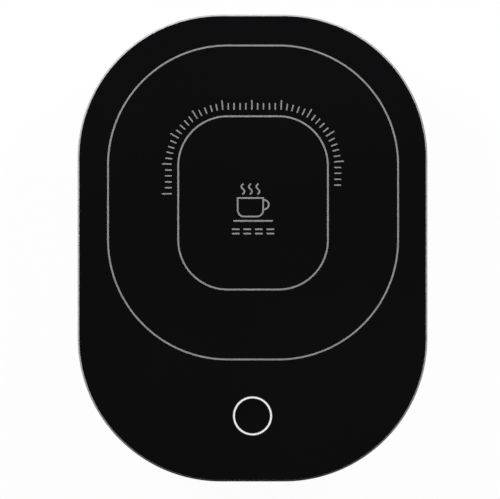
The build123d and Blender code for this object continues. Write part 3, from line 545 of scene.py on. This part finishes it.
dish_radius = cap_radius - cap_rim
dish_floor = key_high.z - cap_dish
cap_roof = dish_floor - cap_wall
cap_profile = [
    (dish_radius * i / dish_steps, key_high.z - cap_dish * (1 - (i / dish_steps) ** 2))
    for i in range(1, dish_steps + 1)
]
cap_profile += [
    (cap_radius - cap_edge, key_high.z),
    (cap_radius - cap_edge * cap_edge_cut, key_high.z - cap_edge * cap_edge_cut),
    (cap_radius, key_high.z - cap_edge),
    (cap_radius, collar_levels[1]),
    (collar_radius, collar_levels[1]),
    (collar_radius, collar_levels[0]),
    (cap_radius - cap_wall, collar_levels[0]),
    (cap_radius - cap_wall, cap_roof),
    (stem_radius, cap_roof),
    (stem_radius, key_low.z),
]
cap_shape = bmesh.new()
cap_rings = [turned_ring(key_middle, radius, level, cap_segments) for radius, level in cap_profile]
cap_loops, _ = skin(cap_shape, cap_rings)
cap_shape.faces.new(cap_loops[-1])
cap_heart = cap_shape.verts.new((*key_middle, dish_floor))
for i in range(cap_segments):
    cap_shape.faces.new((cap_heart, cap_loops[0][i], cap_loops[0][(i + 1) % cap_segments]))
key_cap = add_piece("key_cap", cap_shape, key_gloss)
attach(key_cap, "key")
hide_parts("power_key")

# Glass deck: 3.2 mm black glass, water cut, its edge ground to a pale frosted bevel and its face
# polished. It lies on a soft bead of black sealant along the frame.
deck_low, deck_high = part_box("glass_panel")
deck_clear = 0.001 * mm  # inside the outline of the solid
deck_half = deck_high.xy - Vector((deck_clear, deck_clear))
deck_corner = 49.6 * mm
deck_step = 1.0 * mm
print_height = 0.03 * mm
deck_levels = (deck_low.z, deck_high.z - print_height)
bevel = 0.60 * mm
bevel_rounding = 0.06 * mm
polish_margin = 0.15 * mm  # flat band along the bevel
under_seam = 0.20 * mm
key_hole = 6.8 * mm  # radius
key_hole_seam = 0.05 * mm
least_bends = 6  # of a rounded corner

dress("glass_bond", seal_black)


def rounded_outline(half, corner, step):
    """Points round a rectangle with rounded corners, at most step apart, and their outward ways."""
    points, outward = [], []
    flats = (2 * (half[1] - corner), 2 * (half[0] - corner))
    for turn, (side_x, side_y) in enumerate(((1, -1), (1, 1), (-1, 1), (-1, -1))):
        centre = Vector((side_x * (half[0] - corner), side_y * (half[1] - corner)))
        bends = max(least_bends, math.ceil(corner * math.pi / 2 / step))
        for i in range(bends + 1):
            angle = math.pi / 2 * (turn - 1 + i / bends)
            outward.append(Vector((math.cos(angle), math.sin(angle))))
            points.append(centre + corner * outward[-1])
        ahead = Vector((-outward[-1].y, outward[-1].x))
        end, flat = points[-1], flats[turn % 2]
        for i in range(1, math.ceil(flat / step)):
            points.append(end + ahead * flat * i / math.ceil(flat / step))
            outward.append(outward[-1])
    return points, outward


deck_points, deck_outward = rounded_outline(deck_half, deck_corner, deck_step)


def deck_ring(inset, level):
    """Outline of the glass, drawn in by inset, at a level."""
    return [(*(p - inset * way), level) for p, way in zip(deck_points, deck_outward)]


def hole_ring(radius, level):
    """Circle round the key, with a point in line with each point of the outline."""
    ways = [(p - key_middle).normalized() for p in deck_points]
    return [(*(key_middle + radius * way), level) for way in ways]


deck_shape = bmesh.new()
_, deck_bands = skin(
    deck_shape,
    [
        hole_ring(key_hole, deck_levels[0]),
        hole_ring(key_hole, deck_levels[1] - key_hole_seam),
        hole_ring(key_hole + key_hole_seam, deck_levels[1]),
        deck_ring(bevel + polish_margin, deck_levels[1]),
        deck_ring(bevel, deck_levels[1]),
        deck_ring(bevel - bevel_rounding, deck_levels[1] - bevel_rounding / 2),
        deck_ring(bevel_rounding / 2, deck_levels[1] - bevel + bevel_rounding),
        deck_ring(0.0, deck_levels[1] - bevel),
        deck_ring(0.0, deck_levels[0] + under_seam),
        deck_ring(under_seam, deck_levels[0]),
    ],
    closed=True,
)
polished_face, ground_face, side_face = 0, 1, 2
band_faces = (
    (side_face, side_face)
    + (polished_face, polished_face)
    + (ground_face, ground_face, ground_face)
    + (side_face, ground_face, side_face)
)
for band, band_face in zip(deck_bands, band_faces):
    for face in band:
        face.material_index = band_face

glass_black = grained_finish(
    "glass_black",
    dark=(0.0023, 0.0023, 0.0028),
    light=(0.0030, 0.0030, 0.0036),
    rough=(0.035, 0.045),
    speck=6.0 * mm,
    depth=0.0002 * mm,
)
glass_ground = grained_finish(
    "glass_ground",
    dark=(0.27, 0.27, 0.285),
    light=(0.34, 0.34, 0.355),
    rough=(0.46, 0.62),
    speck=0.12 * mm,
    depth=0.010 * mm,
    gloss=0.1,
)
glass_side = grained_finish(
    "glass_side",
    dark=(0.006, 0.007, 0.008),
    light=(0.010, 0.012, 0.013),
    rough=(0.12, 0.24),
    speck=0.18 * mm,
    depth=0.004 * mm,
)
glass_deck = add_piece("glass_deck", deck_shape, glass_black, glass_ground, glass_side)
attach(glass_deck, "housing")
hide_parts("glass_panel")

# Zone rings: two thin lines of grey ceramic ink, screened on the glass and fired. They bound the
# heated zone and the place of the mug in it.
print_sunk = 0.01 * mm  # into the glass
print_levels = (deck_levels[1] - print_sunk, deck_high.z)
zone_middle = Vector((0.18 * mm, deck_high.y - 65.05 * mm))
ring_line = 0.58 * mm
ring_step = 0.8 * mm
outer_half = (50.14 * mm, 54.27 * mm)
outer_corner = 41.34 * mm
outer_middle = zone_middle + Vector((0.0, 0.06 * mm))
inner_half = (25.87 * mm, 29.95 * mm)
inner_corner = 17.10 * mm
inner_middle = zone_middle - Vector((0.0, 0.09 * mm))

print_grey = grained_finish(
    "print_grey",
    dark=(0.27, 0.27, 0.27),
    light=(0.32, 0.32, 0.32),
    rough=(0.50, 0.66),
    speck=0.12 * mm,
    depth=0.004 * mm,
)
zone_shape = bmesh.new()
for half, corner, middle in (
    (outer_half, outer_corner, outer_middle),
    (inner_half, inner_corner, inner_middle),
):
    ring_points, _ = rounded_outline(half, corner, ring_step)
    lay_stroke(zone_shape, [middle + p for p in ring_points], ring_line, *print_levels, closed=True)
zone_rings = add_piece("zone_rings", zone_shape, print_grey)
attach(zone_rings, "housing")

# Zone ticks: a scale of short lines in the same ink and from the same screen, round the back and
# the sides of the inner ring. The first of each five is taller.
tick_pitch = 2.04 * mm
tick_line = 0.46 * mm
tick_foot = 2.45 * mm  # outward from the inner ring, as are the two tips
tick_short = 4.40 * mm
tick_tall = 5.40 * mm
tick_start = 3.05 * mm  # back from the middle of the zone, on the left
tick_end = 4.35 * mm  # the same on the right
tick_group = 5
tick_search = 0.1 * mm  # step along the ring to the place of the next

tick_points, tick_outward = rounded_outline(inner_half, inner_corner, tick_search)
tick_lanes = [
    (inner_middle + p, way)
    for p, way in reversed(list(zip(tick_points, tick_outward)))
    if p.y > (tick_start if p.x < 0 else tick_end)
]
tick_shape = bmesh.new()
tick_reach = (tick_foot + tick_tall) / 2
tick_along = 0.0
tick_number = 0
for (here, way), (after, way_after) in zip(tick_lanes, tick_lanes[1:]):
    if tick_along >= tick_number * tick_pitch:
        tip = tick_tall if tick_number % tick_group == 0 else tick_short
        lay_stroke(tick_shape, [here + tick_foot * way, here + tip * way], tick_line, *print_levels)
        tick_number += 1
    tick_along += (after + tick_reach * way_after - here - tick_reach * way).length
zone_ticks = add_piece("zone_ticks", tick_shape, print_grey)
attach(zone_ticks, "housing")

# Cup sign: a steaming cup on a line, over two rows of short bars, in the middle of the zone. It is
# printed in the same ink and from the same screen as the rings.
sign_line = 0.55 * mm
cup_middle = zone_middle + Vector((-0.9 * mm, -1.6 * mm))
cup_half = (4.4 * mm, 3.2 * mm)
cup_corner = 2.2 * mm
cup_corner_steps = 12
handle_radii = (1.955 * mm, 1.7 * mm)
handle_rise = 0.9 * mm
handle_steps = 16
handle_sunk = 0.002 * mm  # under the cup's line, which it runs into
steam_places = (-2.6 * mm, 0.0, 2.6 * mm)
steam_ends = (cup_middle.y + 4.6 * mm, cup_middle.y + 8.0 * mm)
steam_sway = 0.55 * mm
steam_steps = 24
saucer_half = 6.6 * mm
saucer_y = cup_middle.y - 4.7 * mm
bar_places = (-6.0 * mm, -2.0 * mm, 2.0 * mm, 6.0 * mm)
bar_half = 1.1 * mm
bar_levels = (cup_middle.y - 9.1 * mm, cup_middle.y - 7.6 * mm)


def arc(centre, radii, start, turn, steps):
    """Points along an arc, radii wide and tall, that turns on from the angle start."""
    angles = [start + turn * i / steps for i in range(steps + 1)]
    return [(centre[0] + radii[0] * math.cos(a), centre[1] + radii[1] * math.sin(a)) for a in angles]


sign_shape = bmesh.new()
left, right = cup_middle.x - cup_half[0], cup_middle.x + cup_half[0]
top, bottom = cup_middle.y + cup_half[1], cup_middle.y - cup_half[1]
corner_y = bottom + cup_corner
corner_radii = (cup_corner, cup_corner)
cup_run = [
    (left, top),
    *arc((left + cup_corner, corner_y), corner_radii, math.pi, math.pi / 2, cup_corner_steps),
    *arc((right - cup_corner, corner_y), corner_radii, math.pi * 1.5, math.pi / 2, cup_corner_steps),
    (right, top),
]
lay_stroke(sign_shape, cup_run, sign_line, *print_levels, closed=True)
handle_run = arc((right, cup_middle.y + handle_rise), handle_radii, math.pi / 2, -math.pi, handle_steps)
lay_stroke(sign_shape, handle_run, sign_line, print_levels[0], print_levels[1] - handle_sunk)
for place in steam_places:
    curl = []
    for i in range(steam_steps + 1):
        risen = i / steam_steps
        curl.append(
            (
                cup_middle.x + place + steam_sway * math.sin(2 * math.pi * risen),
                steam_ends[0] + (steam_ends[1] - steam_ends[0]) * risen,
            )
        )
    lay_stroke(sign_shape, curl, sign_line, *print_levels)
saucer_run = [(zone_middle.x - saucer_half, saucer_y), (zone_middle.x + saucer_half, saucer_y)]
lay_stroke(sign_shape, saucer_run, sign_line, *print_levels)
for place in bar_places:
    bar_x = zone_middle.x + place
    for level in bar_levels:
        bar_run = [(bar_x - bar_half, level), (bar_x + bar_half, level)]
        lay_stroke(sign_shape, bar_run, sign_line, *print_levels)
cup_sign = add_piece("cup_sign", sign_shape, print_grey)
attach(cup_sign, "housing")

# Housing screws: six zinc plated pan heads, driven from below in sunk seats, which close the tray
# on the frame.
dress("housing_screws", screw_zinc)

# Studio: a white sweep under and round the pad, soft lamps to the left, the right and the back,
# flagged off from the polished face, and a dim ceiling, so that the face stays black from above.
floor_half = 5.0
floor_dim = 0.40  # colour of the floor in the light that it throws back
floor_pale = 0.92  # its colour to the camera
floor_glow = 0.965  # share of plain white in what is seen of it
room_light = 0.03
ceiling_heights = (0.0, 0.25, 0.50, 0.75)  # upward share of the way that gloss looks
ceiling_levels = (1.0, 0.32, 0.16, 0.05)
lamp_size = 0.6
lamps = (
    ("lamp_left", (-1.00, 0.80, 0.42), 31.5),
    ("lamp_right", (1.00, 0.80, 0.42), 22.5),
    ("lamp_back", (0.0, 1.20, 0.60), 0.8),
)

floor_shape = bmesh.new()
floor_corners = [(x * floor_half, y * floor_half, 0.0) for x, y in ((-1, -1), (1, -1), (1, 1), (-1, 1))]
floor_shape.faces.new([floor_shape.verts.new(corner) for corner in floor_corners])
floor_mesh = bpy.data.meshes.new("floor")
floor_shape.to_mesh(floor_mesh)
floor_shape.free()
floor = bpy.data.objects.new("floor", floor_mesh)
bpy.context.scene.collection.objects.link(floor)


def seen_rays(tree):
    """The light path, and one for its rays to the camera, off gloss and through glass."""
    path = tree.nodes.new("ShaderNodeLightPath")
    first = tree.nodes.new("ShaderNodeMath")
    total = tree.nodes.new("ShaderNodeMath")
    first.operation = total.operation = "ADD"
    total.use_clamp = True
    tree.links.new(path.outputs["Is Camera Ray"], first.inputs[0])
    tree.links.new(path.outputs["Is Glossy Ray"], first.inputs[1])
    tree.links.new(first.outputs["Value"], total.inputs[0])
    tree.links.new(path.outputs["Is Transmission Ray"], total.inputs[1])
    return path, total.outputs["Value"]


sweep_white = bpy.data.materials.new("sweep_white")
sweep_white.use_nodes = True
sweep_tree = sweep_white.node_tree
sweep_tree.nodes.clear()
sweep_out = sweep_tree.nodes.new("ShaderNodeOutputMaterial")
sweep_matt = sweep_tree.nodes.new("ShaderNodeBsdfDiffuse")
sweep_glow = sweep_tree.nodes.new("ShaderNodeEmission")
sweep_mix = sweep_tree.nodes.new("ShaderNodeMixShader")
sweep_tint = sweep_tree.nodes.new("ShaderNodeMapRange")
sweep_share = sweep_tree.nodes.new("ShaderNodeMath")
sweep_tint.inputs["To Min"].default_value = floor_dim
sweep_tint.inputs["To Max"].default_value = floor_pale
sweep_share.operation = "MULTIPLY"
sweep_share.inputs[1].default_value = floor_glow
sweep_path, sweep_seen = seen_rays(sweep_tree)
sweep_tree.links.new(sweep_path.outputs["Is Camera Ray"], sweep_tint.inputs["Value"])
sweep_tree.links.new(sweep_tint.outputs["Result"], sweep_matt.inputs["Color"])
sweep_tree.links.new(sweep_seen, sweep_share.inputs[0])
sweep_tree.links.new(sweep_share.outputs["Value"], sweep_mix.inputs["Fac"])
sweep_tree.links.new(sweep_matt.outputs["BSDF"], sweep_mix.inputs[1])
sweep_tree.links.new(sweep_glow.outputs["Emission"], sweep_mix.inputs[2])
sweep_tree.links.new(sweep_mix.outputs["Shader"], sweep_out.inputs["Surface"])
floor.data.materials.append(sweep_white)

studio = bpy.data.worlds.new("studio")
bpy.context.scene.world = studio
studio.use_nodes = True
studio_tree = studio.node_tree
studio_tree.nodes.clear()
studio_out = studio_tree.nodes.new("ShaderNodeOutputWorld")
studio_lit = studio_tree.nodes.new("ShaderNodeBackground")
studio_white = studio_tree.nodes.new("ShaderNodeBackground")
studio_mix = studio_tree.nodes.new("ShaderNodeMixShader")
sky_way = studio_tree.nodes.new("ShaderNodeTexCoord")
sky_height = studio_tree.nodes.new("ShaderNodeSeparateXYZ")
ceiling = studio_tree.nodes.new("ShaderNodeValToRGB")
gloss_only = studio_tree.nodes.new("ShaderNodeMix")
studio_lit.inputs["Color"].default_value = plain_white
studio_lit.inputs["Strength"].default_value = room_light
studio_white.inputs["Color"].default_value = plain_white
for height in ceiling_heights[1:-1]:
    ceiling.color_ramp.elements.new(height)
for stop, height, level in zip(ceiling.color_ramp.elements, ceiling_heights, ceiling_levels):
    stop.position = height
    stop.color = (level, level, level, 1.0)
gloss_only.data_type = "FLOAT"
gloss_only.inputs["A"].default_value = 1.0
studio_path, studio_seen = seen_rays(studio_tree)
studio_tree.links.new(sky_way.outputs["Generated"], sky_height.inputs["Vector"])
studio_tree.links.new(sky_height.outputs["Z"], ceiling.inputs["Fac"])
studio_tree.links.new(studio_path.outputs["Is Glossy Ray"], gloss_only.inputs["Factor"])
studio_tree.links.new(ceiling.outputs["Color"], gloss_only.inputs["B"])
studio_tree.links.new(gloss_only.outputs["Result"], studio_white.inputs["Strength"])
studio_tree.links.new(studio_seen, studio_mix.inputs["Fac"])
studio_tree.links.new(studio_lit.outputs["Background"], studio_mix.inputs[1])
studio_tree.links.new(studio_white.outputs["Background"], studio_mix.inputs[2])
studio_tree.links.new(studio_mix.outputs["Shader"], studio_out.inputs["Surface"])

for lamp_name, lamp_place, lamp_power in lamps:
    lamp_data = bpy.data.lights.new(lamp_name, "AREA")
    lamp_data.energy = lamp_power
    lamp_data.size = lamp_size
    lamp = bpy.data.objects.new(lamp_name, lamp_data)
    lamp.location = lamp_place
    lamp.visible_glossy = False
    lamp.rotation_euler = (-Vector(lamp_place)).to_track_quat("-Z", "Y").to_euler()
    bpy.context.scene.collection.objects.link(lamp)

bpy.context.scene.view_settings.view_transform = "Standard"

# Camera: straight above the pad and far off, so that its sides don't show, with the pad a little
# up and to the right of the middle, as the photograph was taken.
camera_height = 1.2
camera_shift = (-0.875 * mm, -0.503 * mm)  # from the middle of the pad
camera_sensor = 36.0  # width in millimetres, in which the lens is given too
frame_width = 172.85 * mm
camera_data = bpy.data.cameras.new("camera")
camera_data.sensor_width = camera_sensor
camera_data.lens = camera_sensor * (camera_height - cad_box[1].z) / frame_width
camera = bpy.data.objects.new("camera", camera_data)
camera.location = (*camera_shift, camera_height)
bpy.context.scene.collection.objects.link(camera)
bpy.context.scene.camera = camera
